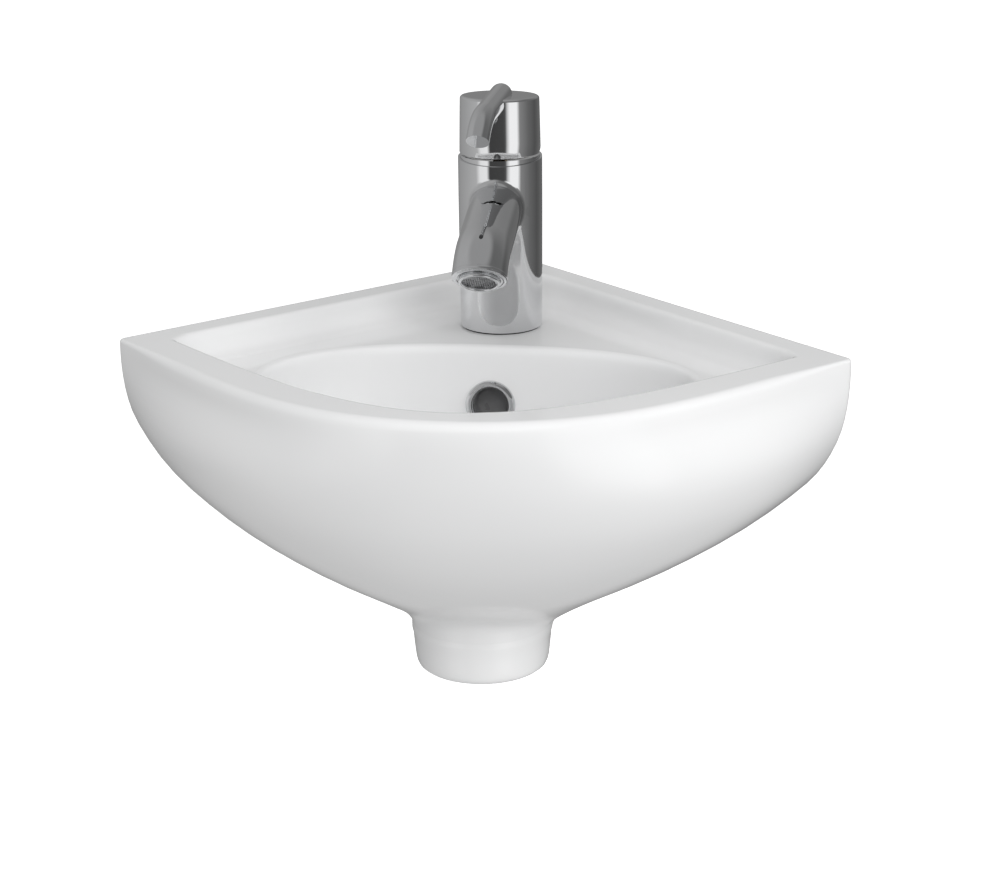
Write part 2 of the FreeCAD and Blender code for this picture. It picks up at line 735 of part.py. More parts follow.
def make_aerator_seal():
    tip, along = spout_end()
    seal = rod(tip - along * 11.5, tip - along * 10.5, AERATOR_R - 0.1)
    return seal.cut(rod(tip - along * 12.0, tip - along * 10.0, 7.2))


PIECES = {
    "basin": make_basin,
    "overflow_ring": make_overflow_ring,
    "waste_body": make_waste_body,
    "waste_top_seal": make_waste_top_seal,
    "waste_bottom_seal": make_waste_bottom_seal,
    "waste_back_nut": make_waste_back_nut,
    "waste_plug": make_waste_plug,
    "waste_plug_seal": make_waste_plug_seal,
    "waste_stem": make_waste_stem,
    "waste_latch": make_waste_latch,
    "waste_spring": make_waste_spring,
    "tap_body": make_tap_body,
    "tap_base_seal": make_tap_base_seal,
    "tap_fixing_stud": make_tap_stud,
    "horseshoe_gasket": make_horseshoe_gasket,
    "horseshoe_washer": make_horseshoe_washer,
    "fixing_nut": make_fixing_nut,
    "cartridge_port_seals": make_port_seals,
    "cartridge_base": make_cartridge_base,
    "fixed_disc": make_fixed_disc,
    "moving_disc": make_moving_disc,
    "disc_carrier": make_disc_carrier,
    "cartridge_housing": make_cartridge_housing,
    "spindle_guide": make_spindle_guide,
    "spindle": make_spindle,
    "spindle_pin": make_spindle_pin,
    "retaining_nut": make_retaining_nut,
    "trim_sleeve": make_trim_sleeve,
    "handle_cap": make_handle_cap,
    "handle_lever": make_handle_lever,
    "grub_screw": make_grub_screw,
    "grub_screw_cover": make_grub_cover,
    "aerator_housing": make_aerator_housing,
    "aerator_screen": make_aerator_screen,
    "aerator_seal": make_aerator_seal,
}


def save(name, shape):
    shape.exportStep("parts/" + name + ".step")
    print(name, shape.isValid(), len(shape.Solids), round(shape.Volume / 1000.0, 3), "cm3")


for piece_name, maker in PIECES.items():
    save(piece_name, maker())
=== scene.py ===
import math
import bmesh
import bpy
from mathutils import Matrix, Vector


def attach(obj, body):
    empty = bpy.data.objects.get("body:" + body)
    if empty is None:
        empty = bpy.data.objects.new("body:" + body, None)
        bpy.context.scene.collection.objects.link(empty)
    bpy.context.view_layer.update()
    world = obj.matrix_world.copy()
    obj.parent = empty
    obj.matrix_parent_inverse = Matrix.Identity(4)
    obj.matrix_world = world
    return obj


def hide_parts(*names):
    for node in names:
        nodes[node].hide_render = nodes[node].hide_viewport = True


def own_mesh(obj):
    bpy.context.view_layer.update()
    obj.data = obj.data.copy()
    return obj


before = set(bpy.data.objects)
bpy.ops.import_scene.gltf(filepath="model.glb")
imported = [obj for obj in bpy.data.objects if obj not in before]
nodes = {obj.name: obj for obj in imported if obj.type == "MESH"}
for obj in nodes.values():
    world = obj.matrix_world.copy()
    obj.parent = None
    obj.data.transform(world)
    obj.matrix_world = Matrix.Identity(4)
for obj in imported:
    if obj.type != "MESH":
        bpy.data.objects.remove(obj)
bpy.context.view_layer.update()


# ---- The basin -----------------------------------------------------------------------------
# A hand basin for a room corner, slip-cast in vitreous china and glazed white all over. Two
# flat faces stand against the walls, the front is one swelling curve, and the waste leaves
# through a short round skirt under the bowl.

belly = [      # depth under the rim, half width at the wall, lean of the flank there, reach
    (0, 200, 45, 333), (14, 199.9, 43, 332.8), (28, 198.6, 33, 330.4), (42, 195.8, 25, 326.8),
    (56, 190.9, 22.5, 322.1), (70, 183.8, 21, 316), (84, 173.5, 19, 307.8), (98, 160.4, 16, 297.8),
    (112, 143.7, 12.5, 284.8), (126, 123.2, 9, 268.2), (142, 93.2, 5, 244.6), (158, 60.8, 1, 218.3)]
bowl_steps = [  # level, half width, back, front, squareness
    (-8.5, 122, -146, -308, 2.4), (-13, 121.5, -146.5, -306.4, 2.4), (-14.6, 118.6, -149.4, -305.6, 2.4),
    (-18, 116.6, -151.6, -304, 2.4), (-36, 112.5, -154.6, -301, 2.4), (-60, 105, -158.5, -296.5, 2.35),
    (-84, 91, -164, -285, 2.3), (-104, 70, -169, -263, 2.15), (-118, 48, -170.5, -240, 2.0),
    (-125, 37, -166.5, -234, 2.0), (-128, 33.5, -166.5, -233.5, 2.0)]
slope_steps = [  # level, distance inside the edge of the recess
    (0, -4.4), (-0.12, -3.0), (-0.5, -1.9), (-1.2, -0.95), (-2.2, -0.2), (-3.5, 0.45), (-5, 1.05),
    (-7, 1.9), (-9, 3.2), (-10.6, 4.8), (-11.9, 6.7), (-12.9, 9.0), (-13.6, 11.7), (-14, 15)]
ledge, deck_level = 19.0, -14.0
waste_at = (0.0, -200.0)
corner_run = 4.8        # the rounding of an upright corner starts this far before it
corner_proud = 1.5      # and takes this much off the two front corners
front_pull = 0.39       # share of the front's span over which it holds its direction at each end
wall_round, front_round = 1.8, 5.2      # radius of the rim's outer edge
recess_half, recess_front, recess_bend = 171.0, -311.0, 26.0
skirt_level, skirt_fillet = -158.0, 4.0


def along(table, at):
    """Values between the steps of a table, on a smooth curve through them."""
    rows = sorted(table, key=lambda row: row[0])
    at = min(max(at, rows[0][0]), rows[-1][0])
    i = max(k for k in range(len(rows) - 1) if rows[k][0] <= at)
    a, b = rows[i], rows[i + 1]
    before, after = rows[max(i - 1, 0)], rows[min(i + 2, len(rows) - 1)]
    t = (at - a[0]) / (b[0] - a[0])
    result = []
    for k in range(1, len(a)):
        m0 = (b[k] - before[k]) / (b[0] - before[0]) * (b[0] - a[0])
        m1 = (after[k] - a[k]) / (after[0] - a[0]) * (b[0] - a[0])
        if before is a or after is b:
            m0 = b[k] - a[k] if before is a else m0
            m1 = b[k] - a[k] if after is b else m1
        h = (2 * t ** 3 - 3 * t ** 2 + 1, t ** 3 - 2 * t ** 2 + t, -2 * t ** 3 + 3 * t ** 2, t ** 3 - t ** 2)
        result.append(h[0] * a[k] + h[1] * m0 + h[2] * b[k] + h[3] * m1)
    return result


def curve_point(handles, t):
    """A point on a curve that leaves its first point towards the second and ends from the third."""
    a, b, c, d = handles
    s = 1 - t
    return tuple(s ** 3 * a[k] + 3 * s * s * t * b[k] + 3 * s * t * t * c[k] + t ** 3 * d[k] for k in (0, 1))


def turned_corner(start, corner, end, t):
    """A point on the rounding of a corner."""
    return tuple((1 - t) ** 2 * start[k] + 2 * t * (1 - t) * corner[k] + t * t * end[k] for k in (0, 1))


def mirrored(right):
    """The whole outline, from its right half."""
    return right + [(-x, y) for x, y in reversed(right[1:-1])]


apex_cuts, wall_cuts, corner_cuts, front_cuts = 5, 16, 10, 64


def outer_outline(depth):
    """The plan of the body at one depth, from the room corner round by the right to the front."""
    width, lean, reach = along(belly, depth)
    width += corner_proud
    lean = math.radians(lean)
    pull = front_pull * math.hypot(width, reach - width)
    handles = ((width, -width), (width - pull * math.sin(lean), -width - pull * math.cos(lean)),
               (pull, -reach), (0.0, -reach))
    step = corner_run * math.sqrt(0.5)
    first = corner_run / (3 * pull)
    right = [turned_corner((-step, -step), (0, 0), (step, -step), 0.5 + 0.5 * i / apex_cuts)
             for i in range(apex_cuts)]
    near, far = step, width - step
    right += [(near + (far - near) * i / wall_cuts, -near - (far - near) * i / wall_cuts)
              for i in range(wall_cuts)]
    right += [turned_corner((far, -far), (width, -width), curve_point(handles, first), i / corner_cuts)
              for i in range(corner_cuts)]
    right += [curve_point(handles, first + (1 - first) * i / front_cuts) for i in range(front_cuts + 1)]
    return mirrored(right)


def drawn_in(outline, amounts):
    """The outline moved inward by its own amount at each point."""
    count = len(outline)
    moved = []
    for i, (x, y) in enumerate(outline):
        ax, ay = outline[i - 1]
        bx, by = outline[(i + 1) % count]
        run = math.hypot(bx - ax, by - ay)
        moved.append((x + (by - ay) / run * amounts[i], y - (bx - ax) / run * amounts[i]))
    return moved


def recess_outline(inset):
    """The edge of the sunk deck: a bend behind the tap, the two ledges, and the front behind the rim."""
    back = -(ledge + inset) * math.sqrt(2)
    side = recess_half - 1.15 * inset
    front = recess_front + inset
    centre = back - recess_bend * math.sqrt(2)
    bend = [math.radians(5 * i) for i in range(10)]
    right = [(recess_bend * math.sin(a), centre + recess_bend * math.cos(a)) for a in bend]
    ax, ay = right[-1]
    stop = side - 9.0
    right += [(ax + (stop - ax) * i / 12, ay - (stop - ax) * i / 12) for i in range(1, 12)]
    handles = ((side, back - side), (side * 0.70, back - side * 1.288), (62.0, front), (0.0, front))
    first = 0.055
    corner, leave = (side + 1.6, back - side - 1.6), curve_point(handles, first)
    right += [turned_corner((stop, back - stop), corner, leave, i / 10) for i in range(10)]
    right += [curve_point(handles, first + (1 - first) * i / 60) for i in range(61)]
    return mirrored(right)


def bowl_outline(level):
    """The plan of the bowl at one level: rounder at the front than at the back."""
    half, back, front, square = along(bowl_steps, level)
    extra = square - 2      # how much squarer than an ellipse
    middle = (back + front) / 2 + 0.17 * extra * (back - front)
    points = []
    for i in range(240):
        c, s = math.cos(math.pi * i / 120), math.sin(math.pi * i / 120)
        power = square if s > 0 else 2 - 0.25 * extra
        size = (abs(c) ** power + abs(s) ** power) ** (-1 / power)
        points.append((half * size * c, middle + (back - middle if s > 0 else middle - front) * size * s))
    return points


def from_waste(point):
    """Direction and distance of a point from the middle of the waste, in plan."""
    x, y = point[0] - waste_at[0], point[1] - waste_at[1]
    return math.atan2(y, x), math.hypot(x, y)


def round_waste(reach, angle, level):
    """The point that lies this way and this far from the middle of the waste."""
    return waste_at[0] + reach * math.cos(angle), waste_at[1] + reach * math.sin(angle), level


def reaches(outline, angles):
    """Distance from the waste to the outline in each direction, along its straight chords."""
    polar = sorted(from_waste(point) for point in outline)
    polar = [(polar[-1][0] - 2 * math.pi, polar[-1][1])] + polar + [(polar[0][0] + 2 * math.pi, polar[0][1])]
    found, k = {}, 0
    for angle in sorted(set(angles)):
        while polar[k + 1][0] < angle:
            k += 1
        (a, ra), (b, rb) = polar[k], polar[k + 1]
        chord = ra * rb * math.sin(b - a)
        if chord > 1e-9:
            found[angle] = chord / (rb * math.sin(b - angle) + ra * math.sin(angle - a))
        else:
            found[angle] = ra
    return [found[angle] for angle in angles]


def soft_low(a, b, k):
    """The lower of two values, run smoothly into each other where they are within k."""
    h = max(k - abs(a - b), 0.0)
    return min(a, b) - h * h / (4 * k)


def soft_high(a, b, k):
    """The higher of two values, in the same way."""
    return -soft_low(-a, -b, k)


body_depths = [7, 9, 12, 16, 21, 28, 35, 42, 49, 56, 63, 70, 77, 84, 91, 98, 105, 112, 119, 126, 130, 134,
               137, 140, 143, 146, 149, 152, 155]
top_outline = outer_outline(0)
count = len(top_outline)
edge_round = []
for i in range(count):
    past_corner = min(i, count - i) - apex_cuts - wall_cuts - corner_cuts
    t = min(max(past_corner / 16, 0), 1)
    edge_round.append(wall_round + (front_round - wall_round) * t * t * (3 - 2 * t))

rows = []       # closed rings of points, from the rim down the outside, up through the bowl to the rim
for step in range(7):
    tip = math.radians(90 - 15 * step)
    inward = [r * (1 - math.cos(tip)) for r in edge_round]
    plan = drawn_in(top_outline, inward)
    rows.append([(x, y, -r * (1 - math.sin(tip))) for (x, y), r in zip(plan, edge_round)])


def skirt_radius(level):
    """How wide the skirt is, narrower below."""
    return 39.6 + (level + 158) * 0.105 if level < -140 else 41.5 + (level + 140) * 0.02


for depth, inward in [(depth, 0.0) for depth in body_depths] + [(156.6, 0.5), (157.6, 1.5), (158.0, 3.0)]:
    ring = []
    for point in drawn_in(outer_outline(depth), [inward] * count):
        angle, reach = from_waste(point)
        wide = soft_high(reach, skirt_radius(-depth), 7.0) if depth > 110 else reach
        ring.append(round_waste(wide, angle, -depth))
    rows.append(ring)
low_angles, low_reach = zip(*[from_waste(point) for point in rows[-1]])
skirt_top = skirt_radius(skirt_level)


def round_row(radii, level, angles):
    """A ring about the waste, at one level."""
    return [round_waste(r, angle, level) for r, angle in zip(radii, angles)]


for share in (0.35, 0.8):
    radii = [r + (min(r, skirt_top + 4.5) - r) * share for r in low_reach]
    rows.append(round_row(radii, skirt_level, low_angles))
for tip in (0, 22, 45, 67, 90):
    tip = math.radians(tip)
    out, down = skirt_fillet * (1 - math.sin(tip)), skirt_fillet * (1 - math.cos(tip))
    radii = [min(r, skirt_top + out) for r in low_reach]
    rows.append(round_row(radii, skirt_level - down, low_angles))
top_angles, edge_reach = zip(*[from_waste(point) for point in rows[0]])
skirt_steps = [  # radius, level, share of the turn from the body's directions to the rim's
    (38.9, -165, 0), (38.4, -171, 0), (37.9, -176, 0), (37.5, -179.2, 0), (37.1, -181.0, 0),
    (36.4, -182.6, 0), (35.2, -183.6, 0), (33.6, -184, 0), (32.0, -183.85, 0), (31.2, -183.0, 0),
    (31, -181.5, 0.2), (31, -165, 0.5), (31, -151.5, 1), (31, -150, 1), (30, -150, 1), (24, -150, 1),
    (23, -149.5, 1), (23, -129, 1), (23.6, -128.1, 1)]
for radius, level, share in skirt_steps:
    angles = [a + (b - a) * share for a, b in zip(low_angles, top_angles)]
    rows.append(round_row([radius] * count, level, angles))

bowl_levels = [-128, -127, -125, -122, -118, -113, -108, -103, -97, -90, -82, -74, -66, -58, -50, -43,
               -36, -30, -25, -21.5, -19, -17.4, -16.2, -15.4, -14.8, -14.2, -13.4, -12, -10, -8.5]
bowl_reach = {level: reaches(bowl_outline(level), top_angles) for level in bowl_levels}
slope_reach = [reaches(recess_outline(inset), top_angles) for level, inset in slope_steps]


def slope_level(i, r):
    """Height of the recess at one distance from the waste, in the direction numbered i."""
    levels = [level for level, inset in slope_steps]
    for za, ra, zb, rb in zip(levels, slope_reach, levels[1:], slope_reach[1:]):
        if r >= rb[i]:
            t = min(max((ra[i] - r) / max(ra[i] - rb[i], 1e-6), 0), 1)
            return za + (zb - za) * t
    return deck_level


for level in bowl_levels:
    ring = []
    for i, angle in enumerate(top_angles):
        r = bowl_reach[level][i]
        z = soft_low(level, slope_level(i, r), 1.6) if level > -24 else level
        ring.append(round_waste(r, angle, z))
    rows.append(ring)
lip = bowl_reach[bowl_levels[-1]]
least_deck, row_gap = 0.5, 0.16     # where the bowl comes close to the rim
for share in (0.012, 0.06, 0.25, 0.6, 0.9):
    ring = []
    for i, angle in enumerate(top_angles):
        foot = max(slope_reach[-1][i], lip[i] + least_deck)
        r = lip[i] + (foot - lip[i]) * share
        ring.append(round_waste(r, angle, slope_level(i, r)))
    rows.append(ring)
for place, reach in enumerate(reversed(slope_reach)):
    ring = []
    for i, angle in enumerate(top_angles):
        r = max(reach[i], lip[i] + least_deck + row_gap * (place + 1))
        ring.append(round_waste(r, angle, slope_level(i, r)))
    rows.append(ring)
for share in (0.06, 0.5, 0.94):
    ring = []
    for i, angle in enumerate(top_angles):
        inner = max(slope_reach[0][i], lip[i] + least_deck + row_gap * (len(slope_steps) + 1))
        r = inner + (edge_reach[i] - inner) * share
        ring.append(round_waste(r, angle, 0.0))
    rows.append(ring)


def mesh_of_rings(name, rings, closed_up=False):
    """A smooth skin through rings of points given in millimetres."""
    form = bmesh.new()
    made = [[form.verts.new((x * 0.001, y * 0.001, z * 0.001)) for x, y, z in ring] for ring in rings]
    pairs = list(zip(made, made[1:] + made[:1])) if closed_up else list(zip(made, made[1:]))
    for lower, upper in pairs:
        for i in range(len(lower)):
            j = (i + 1) % len(lower)
            form.faces.new((lower[i], lower[j], upper[j], upper[i]))
    bmesh.ops.remove_doubles(form, verts=form.verts, dist=2e-6)
    bmesh.ops.delete(form, geom=[edge for edge in form.edges if not edge.link_faces], context="EDGES")
    bmesh.ops.recalc_face_normals(form, faces=form.faces)
    for face in form.faces:
        face.smooth = True
    mesh = bpy.data.meshes.new(name)
    form.to_mesh(mesh)
    form.free()
    piece = bpy.data.objects.new(name, mesh)
    bpy.context.scene.collection.objects.link(piece)
    return piece


def capped(name, rings):
    """A skin through rings, with its two ends filled in."""
    bar = mesh_of_rings(name, rings)
    form = bmesh.new()
    form.from_mesh(bar.data)
    bmesh.ops.holes_fill(form, edges=form.edges)
    bmesh.ops.recalc_face_normals(form, faces=form.faces)
    form.to_mesh(bar.data)
    form.free()
    return bar


def round_cutter(name, start, end, radius, sides=64):
    """A plain round bar, used to drill a hole and then thrown away."""
    start, end = Vector(start), Vector(end)
    turn = (end - start).to_track_quat("Z", "Y").to_matrix()
    circle = [turn @ Vector((radius * math.cos(2 * math.pi * i / sides),
                             radius * math.sin(2 * math.pi * i / sides), 0)) for i in range(sides)]
    return capped(name, [[place + point for point in circle] for place in (start, end)])


def drilled(piece, cutters):
    """The piece with the cutters taken out of it, and its edges sharp again."""
    for cutter in cutters:
        cut = piece.modifiers.new("cut", "BOOLEAN")
        cut.operation, cut.solver, cut.object = "DIFFERENCE", "EXACT", cutter
    bpy.context.view_layer.update()
    kept = bpy.data.meshes.new_from_object(piece.evaluated_get(bpy.context.evaluated_depsgraph_get()))
    piece.modifiers.clear()
    piece.data = kept
    for cutter in cutters:
        bpy.data.objects.remove(cutter)
    for face in kept.polygons:
        face.use_smooth = True
    kept.set_sharp_from_angle(angle=math.radians(38))


basin = mesh_of_rings("glazed_basin", rows, closed_up=True)

rear_plan = [(-8, -28), (8, -28), (34, -54), (40, -84), (36, -129), (-36, -129), (-40, -84), (-34, -54)]
rear_well = capped("rear_well", [[(x, y, z) for x, y in rear_plan] for z in (-170.0, -26.0)])
tap_y, tap_hole_radius = -104.0, 17.5
mouth, overflow_tilt = Vector((0.0, -156.07, -46.96)), math.radians(9)
overflow_out = Vector((0, -math.cos(overflow_tilt), math.sin(overflow_tilt)))
cutters = [
    rear_well,
    round_cutter("tap_hole", (0, tap_y, -40), (0, tap_y, 5), tap_hole_radius),
    round_cutter("overflow_hole", mouth + overflow_out * 8, mouth - overflow_out * 12, 12.0)]
bolt_along, bolt_level, bolt_radius = 118.0, -62.0, 7.0
for name, side in (("bolt_hole_right", 1), ("bolt_hole_left", -1)):
    face = Vector((side * bolt_along * math.sqrt(0.5), -bolt_along * math.sqrt(0.5), bolt_level))
    off_wall = Vector((-side, -1, 0)).normalized()
    cutters.append(round_cutter(name, face - off_wall * 5, face + off_wall * 14, bolt_radius))
drilled(basin, cutters)


def plain_material(name):
    """A new material, with its nodes, its links and its shader."""
    material = bpy.data.materials.new(name)
    material.use_nodes = True
    tree = material.node_tree
    return material, tree.nodes, tree.links, tree.nodes["Principled BSDF"]


def mottled(material_parts, scale, dark, light, low_rough, high_rough, bump, stretch=(1, 1, 1), detail=4.0):
    """Fine variation of colour, gloss and surface, all from one noise that is fixed to the piece."""
    material, made, links, shader = material_parts
    place = made.new("ShaderNodeTexCoord")
    mapping = made.new("ShaderNodeMapping")
    mapping.inputs["Scale"].default_value = stretch
    noise = made.new("ShaderNodeTexNoise")
    noise.inputs["Scale"].default_value = scale
    noise.inputs["Detail"].default_value = detail
    colour = made.new("ShaderNodeValToRGB")
    colour.color_ramp.elements[0].position, colour.color_ramp.elements[1].position = 0.3, 0.7
    colour.color_ramp.elements[0].color = (*dark, 1)
    colour.color_ramp.elements[1].color = (*light, 1)
    rough = made.new("ShaderNodeMapRange")
    rough.inputs["From Min"].default_value, rough.inputs["From Max"].default_value = 0.3, 0.7
    rough.inputs["To Min"].default_value, rough.inputs["To Max"].default_value = low_rough, high_rough
    ripple = made.new("ShaderNodeBump")
    ripple.inputs["Distance"].default_value = bump
    ripple.inputs["Strength"].default_value = 1.0
    links.new(place.outputs["Object"], mapping.inputs["Vector"])
    links.new(mapping.outputs["Vector"], noise.inputs["Vector"])
    links.new(noise.outputs["Fac"], colour.inputs["Fac"])
    links.new(noise.outputs["Fac"], rough.inputs["Value"])
    links.new(noise.outputs["Fac"], ripple.inputs["Height"])
    links.new(colour.outputs["Color"], shader.inputs["Base Color"])
    links.new(rough.outputs["Result"], shader.inputs["Roughness"])
    links.new(ripple.outputs["Normal"], shader.inputs["Normal"])
    return material


glaze_parts = plain_material("white_glaze")
glaze_parts[3].inputs["IOR"].default_value = 1.50
glaze = mottled(glaze_parts, 9.0, (0.815, 0.818, 0.822), (0.842, 0.844, 0.846),
                0.08, 0.12, 0.00002, detail=1.0)
basin.data.materials.clear()
basin.data.materials.append(glaze)
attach(basin, "basin_and_tap")
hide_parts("basin")


# ---- Overflow and waste ----------------------------------------------------------------------
# A chrome ring lines the overflow hole. The waste is a chromed brass body pulled down by a brass
# back nut on two rubber washers. Its plug is pressed open and shut against a steel coil spring.

chrome_parts = plain_material("polished_chrome")
chrome_parts[3].inputs["Metallic"].default_value = 1.0
chrome = mottled(chrome_parts, 26.0, (0.700, 0.706, 0.716), (0.735, 0.738, 0.745),
                 0.035, 0.06, 0.0000004, detail=2.0)

rubber_parts = plain_material("black_rubber")
rubber = mottled(rubber_parts, 900.0, (0.016, 0.016, 0.017), (0.035, 0.035, 0.036), 0.55, 0.75, 0.00002)

brass_parts = plain_material("turned_brass")
brass_parts[3].inputs["Metallic"].default_value = 1.0
brass = mottled(brass_parts, 60.0, (0.50, 0.36, 0.15), (0.66, 0.50, 0.24),
                0.22, 0.38, 0.00001, stretch=(1, 1, 26))

steel_parts = plain_material("drawn_steel")
steel_parts[3].inputs["Metallic"].default_value = 1.0
steel = mottled(steel_parts, 110.0, (0.42, 0.42, 0.43), (0.58, 0.58, 0.59),
                0.20, 0.36, 0.00001, stretch=(1, 1, 14))


def turned_piece(name, profile, place, axis, cuts):
    """A closed piece turned about an axis, from a profile of radius and distance along the axis."""
    side = Vector((1, 0, 0))
    up = side.cross(axis)
    turns = [2 * math.pi * i / cuts for i in range(cuts)]
    spokes = [side * math.cos(turn) + up * math.sin(turn) for turn in turns]
    rings = [[place + axis * out + spoke * r for spoke in spokes] for r, out in profile]
    return mesh_of_rings(name, rings, closed_up=True)


pole = 0.0005       # a ring this small closes to a point
ring_profile = [(14.2, 0.0), (14.25, 0.5), (14.05, 1.2), (13.6, 1.9), (12.9, 2.5), (12.1, 2.85), (11.4, 2.9),
                (10.9, 2.65), (10.65, 2.2), (10.6, 1.4), (10.2, 1.2), (9.9, 0.6), (9.8, -5.5), (11.7, -5.5),
                (11.7, 0.0)]
overflow_ring = turned_piece("overflow_trim", ring_profile, mouth, overflow_out, 96)
overflow_ring.data.materials.append(chrome)
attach(overflow_ring, "basin_and_tap")
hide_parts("overflow_ring")

# Painted shade: a dark grey cup set in the overflow hole, standing for the dark channel behind the ring. The
# same dark grey is painted behind the aerator grid.
hole_shade_parts = plain_material("painted_hole_shade")
hole_shade = mottled(hole_shade_parts, 60.0, (0.11, 0.11, 0.112), (0.17, 0.17, 0.173), 0.25, 0.4, 0.00002)
cup_profile = [(9.75, -1.0), (9.6, -10.5), (8.0, -11.6), (pole, -11.8), (pole, -11.95), (8.2, -11.9),
               (9.75, -10.9), (9.79, -5.0), (9.79, -1.0)]
shade_cup = turned_piece("overflow_painted_shade", cup_profile, mouth, overflow_out, 64)
shade_cup.data.materials.append(hole_shade)
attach(shade_cup, "basin_and_tap")

white_parts = plain_material("white_moulded_plastic")
white_plastic = mottled(white_parts, 320.0, (0.74, 0.74, 0.71), (0.80, 0.80, 0.77), 0.32, 0.48, 0.00001)


def finished(node, material):
    """A part of the frame, given its own material."""
    nodes[node].data.materials.clear()
    nodes[node].data.materials.append(material)


for node, material in (("waste_body", chrome), ("waste_plug", chrome), ("waste_top_seal", rubber),
                       ("waste_bottom_seal", rubber), ("waste_plug_seal", rubber), ("waste_back_nut", brass),
                       ("waste_stem", steel), ("waste_latch", white_plastic)):
    finished(node, material)

coil_radius, wire_radius, coil_low, coil_high, coil_turns = 4.1, 0.58, -166.6, -150.9, 6
turn_cuts, wire_cuts = 48, 12
coil_rings = []
for step in range(turn_cuts * coil_turns + 1):
    outward = Vector((math.cos(2 * math.pi * step / turn_cuts), math.sin(2 * math.pi * step / turn_cuts), 0))
    level = coil_low + (coil_high - coil_low) * step / (turn_cuts * coil_turns)
    middle = Vector((*waste_at, level)) + outward * coil_radius
    coil_rings.append([middle + outward * (wire_radius * math.cos(2 * math.pi * i / wire_cuts))
                       + Vector((0, 0, wire_radius * math.sin(2 * math.pi * i / wire_cuts)))
                       for i in range(wire_cuts)])
wire_ends = [[sum(ring, Vector()) / wire_cuts] * wire_cuts for ring in (coil_rings[0], coil_rings[-1])]
coil_rings = [wire_ends[0]] + coil_rings + [wire_ends[1]]
coil = mesh_of_rings("waste_coil", coil_rings)
coil.data.materials.append(steel)
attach(coil, "basin_and_tap")
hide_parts("waste_spring")
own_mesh(coil)


# ---- The tap's body and its fixing ------------------------------------------------------------
# A single-hole mixer, cast and chromed in one piece with its spout, sealed to the deck with a
# rubber ring and drawn down from below by a stud, a horseshoe washer and a nut.

for node, material in (("tap_body", chrome), ("trim_sleeve", chrome), ("tap_base_seal", rubber),
                       ("horseshoe_gasket", rubber), ("horseshoe_washer", steel), ("fixing_nut", brass),
                       ("tap_fixing_stud", brass)):
    finished(node, material)


# ---- The cartridge ------------------------------------------------------------------------------
# A 35 mm mixing cartridge of white acetal with two ground ceramic discs, held by a brass nut.
# The brass spindle comes up through it on a steel pin.

disc_parts = plain_material("ground_ceramic")
disc_ceramic = mottled(disc_parts, 700.0, (0.72, 0.69, 0.62), (0.80, 0.77, 0.71), 0.12, 0.25, 0.000004)
for node, material in (("cartridge_port_seals", rubber), ("cartridge_base", white_plastic),
                       ("fixed_disc", disc_ceramic), ("moving_disc", disc_ceramic),
                       ("disc_carrier", white_plastic), ("cartridge_housing", white_plastic),
                       ("spindle_guide", white_plastic), ("spindle", brass), ("spindle_pin", steel),
                       ("retaining_nut", brass)):
    finished(node, material)


# ---- The handle ---------------------------------------------------------------------------------
# A chromed cap with a bent round lever in one with it, held on the spindle by a grub screw
# under a small grey plug at the back.

grey_parts = plain_material("grey_moulded_plastic")
grey_plastic = mottled(grey_parts, 420.0, (0.155, 0.16, 0.165), (0.20, 0.205, 0.21), 0.25, 0.40, 0.000006)
cap_low, cap_ceiling, cap_top, cap_edge = 88.0, 104.5, 120.1, 1.6
heel_cut = math.tan(math.radians(21))       # room behind for the cap to tip back
top_rake = math.tan(math.radians(3))
rest_turn = Matrix.Rotation(math.radians(-3), 3, "Z")
screw_level, screw_radius = 99.0, 2.5


def cap_ring(radius, rise, lift=0.0, cuts=160):
    """One ring of the cap, some way up from its cut underside to its raked top."""
    ring = []
    for i in range(cuts):
        x, y = radius * math.cos(2 * math.pi * i / cuts), radius * math.sin(2 * math.pi * i / cuts)
        under = cap_low + max(y + 3.0, 0.0) * heel_cut
        above = cap_top - y * top_rake
        place = rest_turn @ Vector((x, y, 0))
        ring.append((place.x, place.y + tap_y, under * (1 - rise) + above * rise + lift))
    return ring


cap_rings = [[(x, y, cap_ceiling) for x, y, z in cap_ring(radius, 0)] for radius in (pole, 19.8)]
cap_rings += [cap_ring(radius, rise, lift) for radius, rise, lift in (
    (19.8, 0, 0.05), (20.1, 0, 0), (22.6, 0, 0), (22.95, 0, 0.12), (23.1, 0, 0.45),
    (22.98, 0.25, 0), (22.82, 0.5, 0), (22.66, 0.75, 0))]
for step in range(7):
    tip = math.radians(15 * step)
    cap_rings.append(cap_ring(20.9 + cap_edge * math.cos(tip), 1, cap_edge * math.sin(tip) - cap_edge))
cap_rings += [cap_ring(20.4, 1), cap_ring(12.0, 1), cap_ring(pole, 1)]
cap = mesh_of_rings("handle_cap_shell", cap_rings, closed_up=True)
screw_line = [rest_turn @ Vector((0, back, 0)) + Vector((0, tap_y, screw_level)) for back in (3, 30)]
drilled(cap, [round_cutter("screw_hole", *screw_line, screw_radius)])
cap.data.materials.clear()
cap.data.materials.append(chrome)
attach(cap, "handle")
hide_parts("handle_cap")

for node, material in (("handle_lever", chrome), ("grub_screw", steel), ("grub_screw_cover", grey_plastic)):
    finished(node, material)


# ---- The aerator --------------------------------------------------------------------------------
# A chromed housing screwed into the rounded end of the spout, standing out of it by a few
# millimetres, with a fine steel grid clipped inside its lip.

spout_tip = Vector((0, -195.2, 36.7))
spout_fall = math.radians(51.9)
jet = Vector((0, -math.cos(spout_fall), -math.sin(spout_fall)))
housing_profile = [(11.1, -2.0), (11.1, 1.9), (11.0, 2.35), (10.7, 2.65), (10.3, 2.8), (9.9, 2.75),
                   (9.6, 2.5), (9.45, 2.1), (9.3, 1.2), (9.25, 0.6), (9.2, -2.0)]
housing = turned_piece("aerator_ring", housing_profile, spout_tip, jet, 96)
housing.data.materials.append(chrome)
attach(housing, "basin_and_tap")
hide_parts("aerator_housing")

